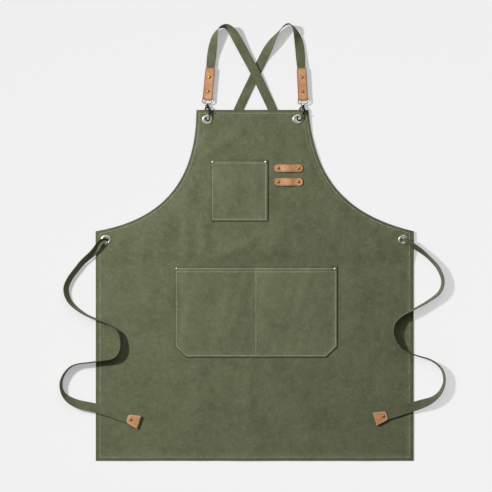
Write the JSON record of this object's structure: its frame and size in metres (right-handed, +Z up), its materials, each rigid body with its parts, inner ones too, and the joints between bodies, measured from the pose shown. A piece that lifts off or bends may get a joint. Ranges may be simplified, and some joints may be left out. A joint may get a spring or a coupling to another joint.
{
  "type": "apron",
  "caption": "Canvas work apron with crossing back straps, snap hooks, leather tabs and tool loops, a chest pocket and a divided waist pocket.",
  "frame": {"origin": "on the surface the apron lies on, under the middle of the apron measured without its straps", "axes": "+X to the right and +Y towards the bib as seen from the front, +Z up out of the apron's front"},
  "size_m": [0.8317, 0.9434, 0.0257],
  "materials": {
    "canvas": "waxed olive canvas",
    "pocket_canvas": "waxed olive canvas",
    "webbing": "olive cotton webbing",
    "leather": "tan leather with darker edges",
    "nickel": "nickel plate",
    "antique_brass": "antique brass",
    "gunmetal": "dark gunmetal plate"
  },
  "bodies": {
    "apron": {"apron_panel": "canvas", "chest_pocket": "pocket_canvas", "waist_pocket": "pocket_canvas", "upper_tool_loop": "leather", "lower_tool_loop": "leather", "bib_eyelet_left": "nickel", "bib_eyelet_left_washer": "nickel", "bib_eyelet_right": "nickel", "bib_eyelet_right_washer": "nickel", "waist_eyelet_left": "nickel", "waist_eyelet_left_washer": "nickel", "waist_eyelet_right": "nickel", "waist_eyelet_right_washer": "nickel", "chest_pocket_rivet_left": "nickel", "chest_pocket_rivet_right": "nickel", "waist_pocket_rivet_left": "nickel", "waist_pocket_rivet_right": "nickel", "upper_tool_loop_rivet_left": "antique_brass", "upper_tool_loop_rivet_right": "antique_brass", "lower_tool_loop_rivet_left": "antique_brass", "lower_tool_loop_rivet_right": "antique_brass", "left_snap_body": "gunmetal", "left_snap_spring": "nickel", "right_snap_body": "gunmetal", "right_snap_spring": "nickel", "left_strap": "webbing", "right_tie_end": "leather", "right_tie_end_rivet": "antique_brass", "right_strap": "webbing", "left_tie_end": "leather", "left_tie_end_rivet": "antique_brass"},
    "left_tab": {"left_swivel_eye": "nickel", "left_strap_tab": "leather", "left_strap_tab_rivet_lower": "antique_brass", "left_strap_tab_rivet_upper": "antique_brass"},
    "right_tab": {"right_swivel_eye": "nickel", "right_strap_tab": "leather", "right_strap_tab_rivet_lower": "antique_brass", "right_strap_tab_rivet_upper": "antique_brass"},
    "left_bolt": {"left_snap_bolt": "gunmetal"},
    "right_bolt": {"right_snap_bolt": "gunmetal"}
  },
  "joints": [
    {"name": "left_swivel", "type": "hinge", "parent": "apron", "child": "left_tab", "pos_m": [-0.1011, 0.3094, 0.0073], "axis": [-0.0523, 0.9986, 0], "range_deg": [-20, 10]},
    {"name": "right_swivel", "type": "hinge", "parent": "apron", "child": "right_tab", "pos_m": [0.0947, 0.31, 0.0073], "axis": [0.2756, 0.9613, 0], "range_deg": [-5, 20]},
    {"name": "left_bolt_slide", "type": "slide", "parent": "apron", "child": "left_bolt", "axis": [-0.0523, 0.9986, 0], "range_m": [0, 0.0048], "stiffness_N_per_m": 250, "springref_m": -0.004, "deforming": ["left_snap_spring"]},
    {"name": "right_bolt_slide", "type": "slide", "parent": "apron", "child": "right_bolt", "axis": [0.2756, 0.9613, 0], "range_m": [0, 0.0048], "stiffness_N_per_m": 250, "springref_m": -0.004, "deforming": ["right_snap_spring"]}
  ]
}
